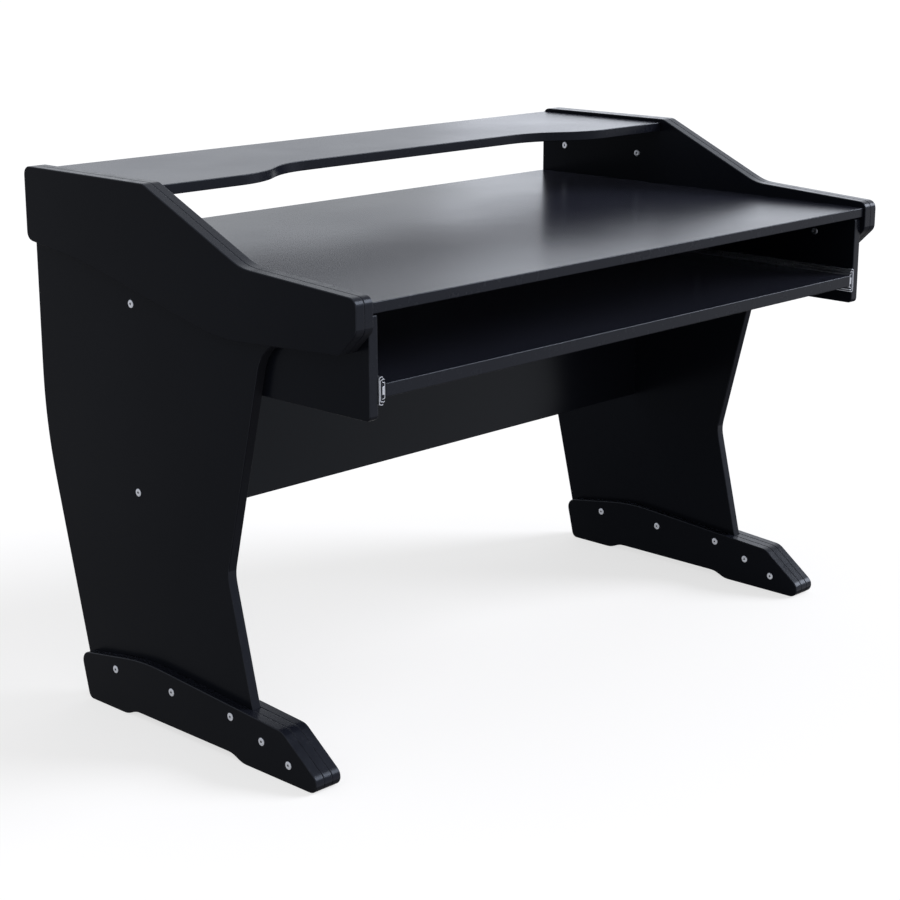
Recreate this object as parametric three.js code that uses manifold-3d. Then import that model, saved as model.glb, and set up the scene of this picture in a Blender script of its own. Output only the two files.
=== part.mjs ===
// Studio desk of laminated boards: two winged sides on sandwich feet carry a tabletop, a riser shelf
// over it, a modesty panel, and a keyboard tray on full extension ball bearing slides.
// Millimetres. X runs to the right, Y to the back and Z up. Depths are measured from the tabletop's
// front edge and heights from the floor; the finished desk is then centred over its origin.

import * as THREE from 'three';
import { mergeVertices } from 'three/addons/utils/BufferGeometryUtils.js';
import Module from 'manifold-3d';

const wasm = await Module();
wasm.setup();

// Boards
const board = 18;
const trayBoard = 22;
const edgeRound = 2; // eased edge of every board
const chordError = 0.3; // how far a curve's facets may leave the curve
const seamGap = 0.3; // between boards that butt inside a sandwich

// Tabletop and riser shelf
const topWidth = 1324;
const topDepth = 825;
const topHeight = 820;
const riserHeight = 127; // from the tabletop's face to the shelf's face
const shelfEndDepth = 322; // where the shelf meets the wings
const shelfBayDepth = 68; // how far its middle is set back
const shelfBayWidth = 656; // straight middle, between the two sweeps
const shelfSweepRun = 102; // width that one sweep takes
const shelfSweepRadius = 165;

// Wing, the upper end of each side
const wingOverhang = 5; // past the tabletop, in front and behind
const wingRim = 7; // above the riser shelf
const wingKneeLead = 5; // upper knee ahead of the shelf's end
const wingBrowRise = 25.4; // lower knee above the tabletop
const wingNoseRise = 11; // front corner above the tabletop
const wingNoseDrop = 43; // where the front edge turns under
const wingChinDrop = 80.5;
const wingBellyDrop = 97.5;
const wingHaunchDrop = 14.5;
const wingTailRise = 5;
const wingBrowShare = 0.3115; // along the tabletop's depth
const wingChinShare = 0.04;
const wingBellyShare = 0.383;
const wingHaunchShare = 0.817;
const wingCornerRadius = 15;
const wingKneeRadius = 12;
const wingBrowRadius = 100;
const wingChinRadius = 8;
const wingBellyRadius = 350;

// Leg, below the wing
const legLean = 13.75; // degrees from upright, of all three of its long edges
const legAnkleShare = 0.3072; // front edge at the floor, along the tabletop's depth
const legHeelShare = 0.8606; // rear edge at the floor
const legWaistShare = 0.3866; // height of the waist, of the tabletop's height
const legRootRadius = 65;
const legWaistRadius = 60;
const legBackRadius = 800;

// Foot, three boards thick with the leg in the middle
const footToeShare = 0.0812; // where the toe's slope would meet the floor
const footBrowShare = 0.223;
const footInstepShare = 0.6667;
const footBrowHeight = 87.5;
const footInstepHeight = 112.6;
const footHeelHeight = 84.4;
const footArchRise = 11.2;
const footPadShares = [0.3467, 0.7273]; // inner ends of the front and rear pads
const footPadRamp = 27;
const footPadRadius = 40;
const footToeRadius = 17;
const footBrowRadius = 25;
const footInstepRadius = 400;
const footHeelRadius = 12;
const footHeelTopRadius = 19;

// Modesty panel, between the legs
const modestyHeight = 446.5;
const modestyGap = 80; // behind the tray's side panels

// Keyboard tray and the side panels that carry it
const traySideHeight = 168;
const traySideSetback = 5;
const traySideTail = 22; // past the rear of the slide
const traySideRadius = 8;
const trayDrop = 140; // from the tabletop's face to the middle of the tray
const traySetback = 2;
const trayShortfall = 11; // its rear edge ahead of the slide's

// Ball bearing slide, three steel channels one inside the other
const slideLength = 450;
const slideSetback = 3;
const slideHeight = 45.5;
const slideWidth = 12.7;
const slideSteel = 1.2;
const slideBend = 1.6; // bend radius on the middle of the strip
const slideBallRadius = 1.9;
const slideBallPlay = 0.15;
const slideOuterRow = 5.6; // the outer row of balls, off the side panel
const slideRowStep = 3.4; // from the outer row to the inner one, off the side panel
const slideWebGap = 0.3;
const cageSteel = 0.6;
const cageBend = 1.2;
const cageLengthShare = 0.444;
const cageLip = 2; // flange past the middle of its balls
const cageInnerLip = 1.6;
const cageBalls = 4; // in each row
const cageBallInset = 12;
const slideHoleDiameter = 4.5; // for the screws that fix the outer and inner members
const slideHoleInset = 35;
const slideHoles = 3;
const slideTabHeight = 13; // bent in at the front of the drawer member
const slideTabReach = 5;
const raceShoulderAngle = 40; // degrees
const raceLipAngle = 25;
const raceMiddleLipAngle = 20;
const raceDrawerLipAngle = 215;

// Fasteners
const boltDiameter = 6;
const boltHeadDiameter = 14;
const boltHeadRise = 1.6;
const boltHeadEdge = 0.8; // upright rim of the head
const boltHeadCrown = 1.5; // width of the rounded rim
const boltSocket = 4.6; // across the corners of the hexagon
const boltSocketDepth = 1.2;
const boltBite = 12; // length in the last board
const boltTip = 1;
const modestyBoltLength = 50;
const screwDiameter = 5;
const screwNeckDiameter = 7;
const screwHeadDiameter = 10;
const screwHeadDepth = 4.5;
const screwLength = 50;
const screwSink = 0.5; // below the face of its board
const boreClearance = 0.3;
const boreOverrun = 4;

// Where the fasteners sit
const footBoltShares = [ // along the foot's length from the toe, and up its instep height
  [0.158, 0.29],
  [0.261, 0.488],
  [0.383, 0.681],
  [0.627, 0.681],
  [0.872, 0.681],
];
const modestyBoltInset = 58; // from the panel's upper and lower edges
const cheekBoltDrop = 51; // below the riser shelf
const cheekBoltShares = [0.6848, 0.9285]; // along the tabletop's depth
const traySideBoltDrop = 36; // below the tabletop
const traySideBoltInset = 93; // from the panel's front and rear edges
const topScrewShares = [0.1333, 0.4545, 0.7758];
const shelfScrewShares = [0.7152, 0.9333];

// Facets of turned pieces
const boltSides = 10;
const screwSides = 6;
const holeSides = 8;
const ballSides = 6;
const ballRings = 4;
const raceStep = 20; // degrees
const mergeGap = 0.1; // points of a strip's middle line that are closer than this are one

// Planes that the boards share, on the right hand side
const topUnder = topHeight - board;
const shelfTop = topHeight + riserHeight;
const shelfUnder = shelfTop - board;
const legInside = topWidth / 2;
const legOutside = legInside + board;
const cheekOutside = legOutside + board;
const panelInside = legInside - board; // inner foot board and tray side panel
const wingFront = -wingOverhang;
const wingRear = topDepth + wingOverhang;
const degrees = THREE.MathUtils.degToRad;
const lean = Math.tan(degrees(legLean));
const slideRear = slideSetback + slideLength;
const traySideRear = slideRear + traySideTail;
const modestyFront = traySideRear + modestyGap;

// Materials
const laminate = { color: 0x17191c, roughness: 0.42, metalness: 0 };
const zinc = { color: 0xc9ccd0, roughness: 0.32, metalness: 1 };

function mesh(name, geometry, look) {
  const piece = new THREE.Mesh(geometry, new THREE.MeshStandardMaterial({ ...look, flatShading: true }));
  piece.name = name;
  return piece;
}

// Solids for cutting and joining
function toSolid(geometry) {
  const bare = geometry.clone();
  bare.deleteAttribute('normal');
  bare.deleteAttribute('uv');
  const merged = mergeVertices(bare);
  return new wasm.Manifold(new wasm.Mesh({
    numProp: 3,
    vertProperties: merged.attributes.position.array,
    triVerts: new Uint32Array(merged.index.array),
  }));
}

function toGeometry(solid) {
  const { vertProperties, triVerts } = solid.getMesh();
  const geometry = new THREE.BufferGeometry();
  geometry.setAttribute('position', new THREE.BufferAttribute(vertProperties, 3));
  geometry.setIndex(new THREE.BufferAttribute(triVerts, 1));
  geometry.computeVertexNormals();
  return geometry;
}

// Points of an arc, close enough together to stay within the chord error
function arcPoints(centre, radius, from, to) {
  const step = 2 * Math.acos(1 - chordError / radius);
  const count = Math.ceil(Math.abs(to - from) / step);
  return Array.from({ length: count + 1 }, (_, i) => {
    const angle = THREE.MathUtils.lerp(from, to, i / count);
    return new THREE.Vector2(Math.cos(angle), Math.sin(angle)).multiplyScalar(radius).add(centre);
  });
}

// Rounds one corner. The radius gives way where an edge beside it is too short for it.
function roundCorner(before, corner, after, radius) {
  const back = before.clone().sub(corner);
  const ahead = after.clone().sub(corner);
  const turn = Math.PI - back.angleTo(ahead);
  const edgeShare = 0.49;
  const reach = Math.min(radius * Math.tan(turn / 2), edgeShare * back.length(), edgeShare * ahead.length());
  const fillet = reach / Math.tan(turn / 2);
  const inward = back.normalize().add(ahead.normalize()).normalize();
  const centre = corner.clone().addScaledVector(inward, fillet / Math.cos(turn / 2));
  const start = corner.clone().addScaledVector(before.clone().sub(corner).normalize(), reach).sub(centre);
  const end = corner.clone().addScaledVector(after.clone().sub(corner).normalize(), reach).sub(centre);
  const sweep = Math.sign(start.cross(end)) * turn;
  return arcPoints(centre, fillet, start.angle(), start.angle() + sweep);
}

// A closed outline from its corners, each written [across, up, radius]
function roundedOutline(corners) {
  const points = corners.map(([across, up]) => new THREE.Vector2(across, up));
  return corners.flatMap(([, , radius], i) => {
    if (!radius) return [points[i]];
    return roundCorner(points.at(i - 1), points[i], points[(i + 1) % points.length], radius);
  });
}

// A board is its outline given a thickness, with all its edges eased
function boardGeometry(outline, thickness) {
  const geometry = new THREE.ExtrudeGeometry(new THREE.Shape(outline), {
    depth: thickness - 2 * edgeRound,
    bevelThickness: edgeRound,
    bevelSize: edgeRound,
    bevelOffset: -edgeRound,
    bevelSegments: 1,
  });
  return geometry.translate(0, 0, edgeRound);
}

// An upright board whose outline is drawn in Y and Z, between two planes of constant X
function sideBoard(name, outline, innerPlane, side) {
  const piece = mesh(name, boardGeometry(outline, board), laminate);
  const upright = new THREE.Matrix4().makeBasis(
    new THREE.Vector3(0, 1, 0), new THREE.Vector3(0, 0, 1), new THREE.Vector3(1, 0, 0));
  piece.quaternion.setFromRotationMatrix(upright);
  piece.position.x = side > 0 ? innerPlane : -innerPlane - board;
  return piece;
}

// A level board whose outline is drawn in X and Y
function levelBoard(name, outline, thickness, underside) {
  const piece = mesh(name, boardGeometry(outline, thickness), laminate);
  piece.position.z = underside;
  return piece;
}

function rectangle(left, right, front, rear) {
  return [[left, front], [right, front], [right, rear], [left, rear]].map((p) => new THREE.Vector2(...p));
}

// Outline of the wing from its rear top corner forward to the chin, shared by cheek and leg
const wingTop = shelfTop + wingRim;
const wingChin = [wingChinShare * topDepth, topHeight - wingChinDrop];
const wingBelly = [wingBellyShare * topDepth, topHeight - wingBellyDrop];
const wingUpperCorners = [
  [wingRear, wingTop, wingCornerRadius],
  [topDepth - shelfEndDepth - wingKneeLead, wingTop, wingKneeRadius],
  [wingBrowShare * topDepth, topHeight + wingBrowRise, wingBrowRadius],
  [wingFront, topHeight + wingNoseRise, wingCornerRadius],
  [wingFront, topHeight - wingNoseDrop, wingCornerRadius],
  [...wingChin, wingChinRadius],
];
const cheekOutline = roundedOutline([
  ...wingUpperCorners,
  [...wingBelly, wingBellyRadius],
  [wingHaunchShare * topDepth, topHeight - wingHaunchDrop, wingBellyRadius],
  [wingRear, topHeight + wingTailRise, wingCornerRadius],
]);

// The leg's front edge leans back up to the waist and forward again to the wing's belly
const ankleY = legAnkleShare * topDepth;
const heelY = legHeelShare * topDepth;
const waistHeight = legWaistShare * topHeight;
const waistY = ankleY + lean * waistHeight;
const bellySlope = (wingBelly[1] - wingChin[1]) / (wingBelly[0] - wingChin[0]);
const rootRun = waistY + lean * (waistHeight - wingChin[1] + bellySlope * wingChin[0]);
const rootY = rootRun / (1 + lean * bellySlope);
const rootHeight = wingChin[1] + bellySlope * (rootY - wingChin[0]);

// The underside of a foot has two pads with a low arch between them
const [padFront, padRear] = footPadShares.map((share) => share * topDepth);
const footSoleCorners = [
  [padFront, 0, footPadRadius],
  [padFront + footPadRamp, footArchRise, footPadRadius],
  [padRear - footPadRamp, footArchRise, footPadRadius],
  [padRear, 0, footPadRadius],
  [heelY, 0, footHeelRadius],
];
const legOutline = roundedOutline([
  ...wingUpperCorners,
  [rootY, rootHeight, legRootRadius],
  [waistY, waistHeight, legWaistRadius],
  [ankleY, 0],
  ...footSoleCorners,
  [wingRear, (wingRear - heelY) / lean, legBackRadius],
]);

// Foot boards, inside and outside the leg, and the filler ahead of it
const toeY = footToeShare * topDepth;
const footBrow = [footBrowShare * topDepth, footBrowHeight];
const footInstep = [footInstepShare * topDepth, footInstepHeight];
const footOutline = roundedOutline([
  [heelY + lean * footHeelHeight, footHeelHeight, footHeelTopRadius],
  [...footInstep, footInstepRadius],
  [...footBrow, footBrowRadius],
  [toeY, 0, footToeRadius],
  ...footSoleCorners,
]);
const footSlope = (footInstep[1] - footBrow[1]) / (footInstep[0] - footBrow[0]);
const fillerTopY = (ankleY + lean * (footBrow[1] - footSlope * footBrow[0])) / (1 - lean * footSlope);
const fillerOutline = roundedOutline([
  [fillerTopY - seamGap, footBrow[1] + footSlope * (fillerTopY - footBrow[0])],
  [...footBrow, footBrowRadius],
  [toeY, 0, footToeRadius],
  [ankleY - seamGap, 0],
]);

const traySideOutline = roundedOutline([
  [traySideSetback, topUnder, traySideRadius],
  [traySideSetback, topUnder - traySideHeight, traySideRadius],
  [traySideRear, topUnder - traySideHeight, traySideRadius],
  [traySideRear, topUnder, traySideRadius],
]);

// The riser shelf is full depth beside the wings and sweeps back to a shallower middle
const shelfFront = topDepth - shelfEndDepth;
const bayHalf = shelfBayWidth / 2;
const shelfOutline = roundedOutline([
  [-legInside, topDepth],
  [-legInside, shelfFront],
  [-bayHalf - shelfSweepRun, shelfFront, shelfSweepRadius],
  [-bayHalf, shelfFront + shelfBayDepth, shelfSweepRadius],
  [bayHalf, shelfFront + shelfBayDepth, shelfSweepRadius],
  [bayHalf + shelfSweepRun, shelfFront, shelfSweepRadius],
  [legInside, shelfFront],
  [legInside, topDepth],
]);

// Fasteners are turned about Y: the seat of the head is at zero and the shank runs down from it.
// Each carries the bore that it needs in the boards that it passes.
function turned(profile, sides) {
  return new THREE.LatheGeometry(profile.map((p) => new THREE.Vector2(...p)), sides);
}

function shankBore(radius, length) {
  const wide = radius + boreClearance;
  const deep = -length - boreClearance;
  return [[0, deep], [wide, deep], [wide, boreOverrun], [0, boreOverrun]];
}

function headProfile() {
  const rim = boltHeadDiameter / 2;
  return [[rim, 0], [rim, boltHeadEdge], [rim - boltHeadCrown, boltHeadRise], [0, boltHeadRise]];
}

function withSocket(geometry, faceHeight) {
  const socket = new THREE.CylinderGeometry(boltSocket / 2, boltSocket / 2, 2 * boltSocketDepth, 6);
  return toGeometry(toSolid(geometry).subtract(toSolid(socket.translate(0, faceHeight, 0))));
}

function boltParts(length) {
  const radius = boltDiameter / 2;
  const shank = [[0, -length], [radius - boltTip, -length], [radius, boltTip - length], [radius, 0]];
  return {
    body: withSocket(turned([...shank, ...headProfile()], boltSides), boltHeadRise),
    bore: turned(shankBore(radius, length), boltSides),
  };
}

// A bolt screwed into a sleeve nut from the other face, with the same flat head on both
function connectorParts(grip) {
  const radius = boltDiameter / 2;
  const farHead = headProfile().reverse().map(([r, y]) => [r, -grip - y]);
  const body = turned([...farHead, [radius, -grip], [radius, 0], ...headProfile()], boltSides);
  return {
    body: withSocket(withSocket(body, boltHeadRise), -grip - boltHeadRise),
    bore: turned(shankBore(radius, grip + boreOverrun), boltSides),
  };
}

// A countersunk screw that bites in the end of a board
function screwParts() {
  const [core, neck, head] = [screwDiameter, screwNeckDiameter, screwHeadDiameter].map((d) => d / 2);
  const neckEnd = -board;
  const wide = (radius) => radius + boreClearance;
  const top = -screwSink;
  return {
    body: turned([
      [0, -screwLength], [core, boltTip - screwLength], [core, neckEnd - boltTip], [neck, neckEnd],
      [neck, top - screwHeadDepth], [head, top], [0, top],
    ], screwSides),
    bore: turned([
      [0, -screwLength - boreClearance], [wide(core), -screwLength], [wide(core), neckEnd - boltTip],
      [wide(neck), neckEnd], [wide(neck), top - screwHeadDepth], [wide(head), top],
      [wide(head), boreOverrun], [0, boreOverrun],
    ], screwSides),
  };
}

// Puts a fastener at a seat plane, its head facing outward or inward
function fastener(name, parts, x, y, z, headDirection) {
  const piece = mesh(name, parts.body, zinc);
  piece.position.set(x, y, z);
  piece.rotation.z = -headDirection * Math.PI / 2;
  piece.userData.bore = parts.bore;
  return piece;
}

function drill(piece, fasteners) {
  piece.updateMatrixWorld();
  const toPiece = piece.matrixWorld.clone().invert();
  const drilled = fasteners.reduce((solid, one) => {
    one.updateMatrixWorld();
    const bore = one.userData.bore.clone().applyMatrix4(one.matrixWorld).applyMatrix4(toPiece);
    return solid.subtract(toSolid(bore));
  }, toSolid(piece.geometry));
  piece.geometry = toGeometry(drilled);
  return piece;
}

// Slide sections, drawn off the side panel and up from the slide's middle. Each is a strip of steel
// that follows its middle line, round the rows of balls that it runs on.
const trackRadius = slideBallRadius + slideBallPlay + slideSteel / 2;
const outerRow = new THREE.Vector2(slideOuterRow,
  slideHeight / 2 - slideSteel - slideBallPlay - slideBallRadius);
const rowRise = Math.sqrt((2 * trackRadius) ** 2 - slideRowStep ** 2);
const innerRow = outerRow.clone().add(new THREE.Vector2(slideRowStep, -rowRise));
const crossing = Math.atan2(-rowRise, slideRowStep);

function raceArc(row, from, to) {
  const count = Math.ceil(Math.abs(to - from) / degrees(raceStep));
  return Array.from({ length: count + 1 }, (_, i) => {
    const angle = THREE.MathUtils.lerp(from, to, i / count);
    return new THREE.Vector2(Math.cos(angle), Math.sin(angle)).multiplyScalar(trackRadius).add(row);
  });
}

// A web from the middle up to a bend, then the given flange
function channelHalf(webX, flange, bend) {
  const foot = new THREE.Vector2(webX, 0);
  const corner = new THREE.Vector2(webX, flange[0].y);
  return [foot, ...roundCorner(foot, corner, flange[0], bend), ...flange];
}

function stripOutline(half, gauge) {
  const lower = half.slice(1).reverse().map((p) => new THREE.Vector2(p.x, -p.y));
  const line = [...lower, ...half].filter((p, i, all) => i === 0 || p.distanceTo(all[i - 1]) > mergeGap);
  const heading = (i) => line[i + 1].clone().sub(line[i]).normalize();
  const sides = [1, -1].map((sign) => line.map((point, i) => {
    const arriving = heading(Math.max(i - 1, 0));
    const leaving = heading(Math.min(i, line.length - 2));
    const along = arriving.clone().add(leaving).normalize();
    const offset = sign * gauge / 2 / along.dot(leaving);
    return new THREE.Vector2(-along.y, along.x).multiplyScalar(offset).add(point);
  }));
  return [...sides[0], ...sides[1].reverse()];
}

const shoulder = raceArc(outerRow, Math.PI - degrees(raceShoulderAngle), degrees(raceLipAngle));
const cabinetWeb = slideSteel / 2;
const outerCageWeb = slideSteel + slideWebGap + cageSteel / 2;
const middleWeb = outerCageWeb + cageSteel / 2 + slideWebGap + slideSteel / 2;
const innerCageWeb = middleWeb + slideSteel / 2 + slideWebGap + cageSteel / 2;
const drawerWeb = slideWidth - slideSteel / 2;
const cabinetSection = stripOutline(channelHalf(cabinetWeb, shoulder, slideBend), slideSteel);
const middleSection = stripOutline(channelHalf(middleWeb, [
  ...raceArc(outerRow, -Math.PI / 2, crossing),
  ...raceArc(innerRow, crossing + Math.PI, degrees(raceMiddleLipAngle)).slice(1),
], slideBend), slideSteel);
const drawerSection = stripOutline(channelHalf(drawerWeb,
  raceArc(innerRow, 3 * Math.PI / 2, degrees(raceDrawerLipAngle)), slideBend), slideSteel);

function rail(section, length) {
  return new THREE.ExtrudeGeometry(new THREE.Shape(section), { depth: length, bevelEnabled: false });
}

function withFixingHoles(solid) {
  const radius = slideHoleDiameter / 2;
  const step = (slideLength - 2 * slideHoleInset) / (slideHoles - 1);
  return Array.from({ length: slideHoles }, (_, i) => slideHoleInset + i * step).reduce((rest, place) => {
    const hole = new THREE.CylinderGeometry(radius, radius, 2 * slideWidth, holeSides).rotateZ(Math.PI / 2);
    return rest.subtract(toSolid(hole.translate(slideWidth / 2, 0, place)));
  }, solid);
}

// A plate bent in from the web, across one end of the member
function tabGeometry(webX, place) {
  const half = slideTabHeight / 2;
  return rail(rectangle(webX - slideTabReach, webX, -half, half), slideSteel).translate(0, 0, place);
}

// A cage is a thin channel with its balls held half above and half below each flange
function cageGeometry(webX, row, lip) {
  const length = cageLengthShare * slideLength;
  const flange = [row.clone(), new THREE.Vector2(row.x + lip, row.y)];
  const strip = stripOutline(channelHalf(webX, flange, cageBend), cageSteel);
  const step = (length - 2 * cageBallInset) / (cageBalls - 1);
  let solid = toSolid(rail(strip, length));
  for (let i = 0; i < cageBalls; i += 1) {
    for (const half of [1, -1]) {
      const ball = new THREE.SphereGeometry(slideBallRadius, ballSides, ballRings);
      solid = solid.add(toSolid(ball.translate(row.x, half * row.y, cageBallInset + i * step)));
    }
  }
  return toGeometry(solid.translate([0, 0, (slideLength - length) / 2]));
}

// A slide stands on its side panel. The left one is the right one turned half round.
function slide(word, side) {
  const group = new THREE.Group();
  const cabinet = withFixingHoles(toSolid(rail(cabinetSection, slideLength)));
  const tab = tabGeometry(drawerWeb, side > 0 ? 0 : slideLength - slideSteel);
  const drawer = withFixingHoles(toSolid(rail(drawerSection, slideLength)).add(toSolid(tab)));
  const pieces = [
    ['cabinet_member', toGeometry(cabinet)],
    ['outer_ball_cage', cageGeometry(outerCageWeb, outerRow, cageLip)],
    ['middle_member', rail(middleSection, slideLength)],
    ['inner_ball_cage', cageGeometry(innerCageWeb, innerRow, cageInnerLip)],
    ['drawer_member', toGeometry(drawer)],
  ];
  for (const [piece, geometry] of pieces) group.add(mesh(`${word}_slide_${piece}`, geometry, zinc));
  const inward = new THREE.Vector3(-side, 0, 0);
  const up = new THREE.Vector3(0, 0, 1);
  group.quaternion.setFromRotationMatrix(
    new THREE.Matrix4().makeBasis(inward, up, inward.clone().cross(up)));
  group.position.set(side * panelInside, side > 0 ? slideSetback : slideRear, topHeight - trayDrop);
  return group;
}

// One side of the desk: leg and cheek, the foot round them, the tray's side panel and the fasteners
function deskSide(word, side, level) {
  const name = (piece) => `${word}_${piece}`;
  const group = new THREE.Group();
  const footLength = heelY - toeY;
  const connector = connectorParts(3 * board);
  const footBolts = footBoltShares.map(([along, up], i) => fastener(name(`foot_connector_${i + 1}`),
    connector, side * cheekOutside, toeY + along * footLength, up * footInstepHeight, side));
  const modestyBolt = boltParts(modestyBoltLength);
  const modestyHeights = [topUnder - modestyBoltInset, topUnder - modestyHeight + modestyBoltInset];
  const modestyBolts = modestyHeights.map((height, i) => fastener(name(`modesty_bolt_${i + 1}`), modestyBolt,
    side * legOutside, modestyFront + board / 2, height, side));
  const cheekBolt = boltParts(board + boltBite);
  const cheekBolts = cheekBoltShares.map((share, i) => fastener(name(`cheek_bolt_${i + 1}`), cheekBolt,
    side * legInside, share * topDepth, shelfUnder - cheekBoltDrop, -side));
  const panelBolt = boltParts(2 * board + boltBite);
  const panelBoltDepths = [traySideSetback + traySideBoltInset, traySideRear - traySideBoltInset];
  const panelBolts = panelBoltDepths.map((depth, i) => fastener(name(`tray_side_bolt_${i + 1}`), panelBolt,
    side * panelInside, depth, topUnder - traySideBoltDrop, -side));
  const screw = screwParts();
  const topScrews = topScrewShares.map((share, i) => fastener(name(`tabletop_screw_${i + 1}`), screw,
    side * legOutside, share * topDepth, topHeight - board / 2, side));
  const shelfScrews = shelfScrewShares.map((share, i) => fastener(name(`shelf_screw_${i + 1}`), screw,
    side * legOutside, share * topDepth, shelfTop - board / 2, side));

  group.add(
    drill(sideBoard(name('leg_panel'), legOutline, legInside, side),
      [...footBolts, ...modestyBolts, ...cheekBolts, ...panelBolts, ...topScrews, ...shelfScrews]),
    drill(sideBoard(name('outer_cheek'), cheekOutline, legOutside, side), [...cheekBolts, ...panelBolts]),
    drill(sideBoard(name('foot_outer_board'), footOutline, legOutside, side), footBolts),
    drill(sideBoard(name('foot_filler'), fillerOutline, legInside, side), footBolts),
    drill(sideBoard(name('foot_inner_board'), footOutline, panelInside, side), footBolts),
    drill(sideBoard(name('tray_side_panel'), traySideOutline, panelInside, side), panelBolts),
    ...footBolts, ...modestyBolts, ...cheekBolts, ...panelBolts, ...topScrews, ...shelfScrews,
  );
  drill(level.tabletop, topScrews);
  drill(level.shelf, shelfScrews);
  drill(level.modesty, modestyBolts);
  return group;
}

// The boards that span the two sides
const tabletop = levelBoard('tabletop', rectangle(-legInside, legInside, 0, topDepth), board, topUnder);
const shelf = levelBoard('riser_shelf', shelfOutline, board, shelfUnder);
const modesty = levelBoard('modesty_panel',
  rectangle(-legInside, legInside, modestyFront, modestyFront + board), modestyHeight,
  topUnder - modestyHeight);
const trayHalf = panelInside - slideWidth;
const tray = levelBoard('keyboard_tray',
  rectangle(-trayHalf, trayHalf, traySetback, slideRear - trayShortfall), trayBoard,
  topHeight - trayDrop - trayBoard / 2);

const desk = new THREE.Group();
const level = { tabletop, shelf, modesty };
desk.add(deskSide('left', -1, level), deskSide('right', 1, level));
desk.add(tabletop, shelf, modesty, tray, slide('left', -1), slide('right', 1));
desk.position.y = -(wingFront + wingRear) / 2;

export default desk;
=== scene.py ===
# %% [markdown]
# # Studio desk
# A desk for a small studio. Two sides of black laminated board stand on sandwiched feet. A tabletop,
# a raised shelf and a modesty panel join them, and a keyboard tray runs out on two ball bearing slides.
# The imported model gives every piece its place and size. This script gives each piece its finish.

# %% Load the frame
import math

import bmesh
import bpy
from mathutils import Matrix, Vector


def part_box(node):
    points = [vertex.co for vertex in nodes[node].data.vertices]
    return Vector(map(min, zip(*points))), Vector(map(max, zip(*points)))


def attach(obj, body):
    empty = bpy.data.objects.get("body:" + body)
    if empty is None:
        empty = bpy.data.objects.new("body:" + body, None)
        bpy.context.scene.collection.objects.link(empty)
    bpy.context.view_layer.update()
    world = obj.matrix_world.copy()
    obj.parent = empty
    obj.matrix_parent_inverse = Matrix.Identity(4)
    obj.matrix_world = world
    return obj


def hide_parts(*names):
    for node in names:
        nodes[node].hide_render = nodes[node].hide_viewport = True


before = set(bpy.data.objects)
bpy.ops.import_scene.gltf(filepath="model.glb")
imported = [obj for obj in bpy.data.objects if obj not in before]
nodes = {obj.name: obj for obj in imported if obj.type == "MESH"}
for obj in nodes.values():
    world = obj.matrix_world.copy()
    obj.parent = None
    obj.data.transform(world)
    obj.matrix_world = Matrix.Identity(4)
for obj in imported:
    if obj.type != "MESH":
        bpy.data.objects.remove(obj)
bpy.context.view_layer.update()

# %% [markdown]
# ## Camera
# The camera stands to the left of the desk, a little above the shelf, and looks slightly down. A long
# lens keeps the boards' edges nearly parallel, as in a catalogue picture. Its place and lens were worked
# out from the straight edges of the boards, so every piece falls where it should without moving the desk.

# %% Camera
CAMERA_PLACE = (-2.7579, -2.6003, 1.4149)
CAMERA_TILT = 74.8
CAMERA_TURN = -46.0
CAMERA_LENS = 82.45
CAMERA_SENSOR = 36.0

camera_data = bpy.data.cameras.new("camera")
camera_data.lens = CAMERA_LENS
camera_data.sensor_width = CAMERA_SENSOR
camera = bpy.data.objects.new("camera", camera_data)
camera.location = CAMERA_PLACE
camera.rotation_euler = (math.radians(CAMERA_TILT), 0, math.radians(CAMERA_TURN))
bpy.context.scene.collection.objects.link(camera)
bpy.context.scene.camera = camera
bpy.context.scene.view_settings.view_transform = "Standard"
print("camera at", CAMERA_PLACE)

# %% [markdown]
# ## Helpers for materials
# A procedural material is a small tree of nodes. These helpers keep each tree short to write: one starts
# a material, one adds a node and joins its inputs, and one makes a noise that is fixed to the object. A
# noise's scale and detail come as a pair. Most of its values lie near the middle, so another helper
# stretches them over the range that is wanted.

# %% Helpers for materials
UNSTRETCHED = (1.0, 1.0, 1.0)
NOISE_LOW = 0.3
NOISE_HIGH = 0.7


def start_material(name):
    material = bpy.data.materials.new(name)
    material.use_nodes = True
    return material, material.node_tree, material.node_tree.nodes["Principled BSDF"]


def add_node(tree, kind, settings=None, **inputs):
    node = tree.nodes.new(kind)
    for key, value in (settings or {}).items():
        setattr(node, key, value)
    for key, value in inputs.items():
        socket = node.inputs[key.replace("_", " ")]
        if isinstance(value, bpy.types.NodeSocket):
            tree.links.new(value, socket)
        else:
            socket.default_value = value
    return node


def object_noise(tree, grain, stretch=UNSTRETCHED):
    scale, detail = grain
    place = add_node(tree, "ShaderNodeTexCoord").outputs["Object"]
    mapped = add_node(tree, "ShaderNodeMapping", Vector=place, Scale=stretch)
    noise = add_node(tree, "ShaderNodeTexNoise", Vector=mapped.outputs["Vector"], Scale=scale, Detail=detail)
    return noise.outputs["Fac"]


def spread(tree, value, low, high, start=NOISE_LOW, end=NOISE_HIGH):
    ranged = add_node(tree, "ShaderNodeMapRange", Value=value)
    for key, number in zip(("From Min", "From Max", "To Min", "To Max"), (start, end, low, high)):
        ranged.inputs[key].default_value = number
    return ranged.outputs["Result"]


def two_colours(tree, factor, first, second):
    mix = add_node(tree, "ShaderNodeMix", {"data_type": "RGBA"})
    tree.links.new(factor, mix.inputs["Factor"])
    mix.inputs["A"].default_value = (*first, 1.0)
    mix.inputs["B"].default_value = (*second, 1.0)
    return mix.outputs["Result"]


print("material helpers ready")

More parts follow.
